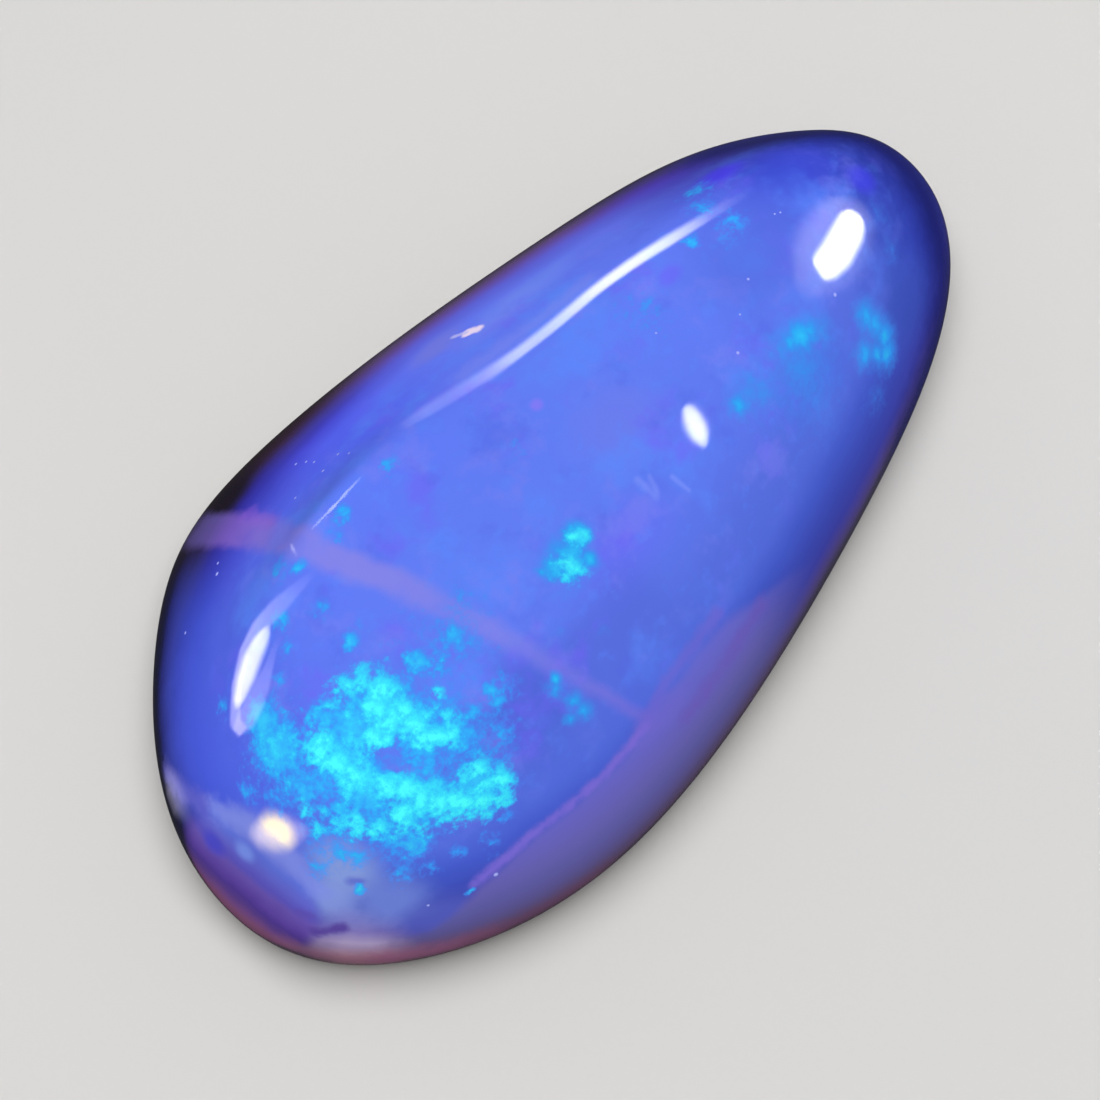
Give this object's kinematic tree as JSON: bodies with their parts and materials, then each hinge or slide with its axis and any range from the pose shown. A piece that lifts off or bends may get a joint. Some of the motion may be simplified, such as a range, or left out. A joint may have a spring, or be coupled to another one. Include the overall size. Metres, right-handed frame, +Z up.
{
  "type": "polished opal",
  "caption": "Polished free-form opal with a gently domed face, one wide rounded end, one narrow end and a flat back to rest on.",
  "frame": {"origin": "on the surface that the stone rests on, under the middle of its box", "axes": "+X along the stone towards its narrow end, +Y across it, +Z up through the domed face"},
  "size_m": [0.0179, 0.0095, 0.0054],
  "materials": {
    "opal": "polished opal, violet blue with turquoise play of colour and mauve seams"
  },
  "bodies": {
    "root": {"opal": "opal"}
  },
  "joints": []
}
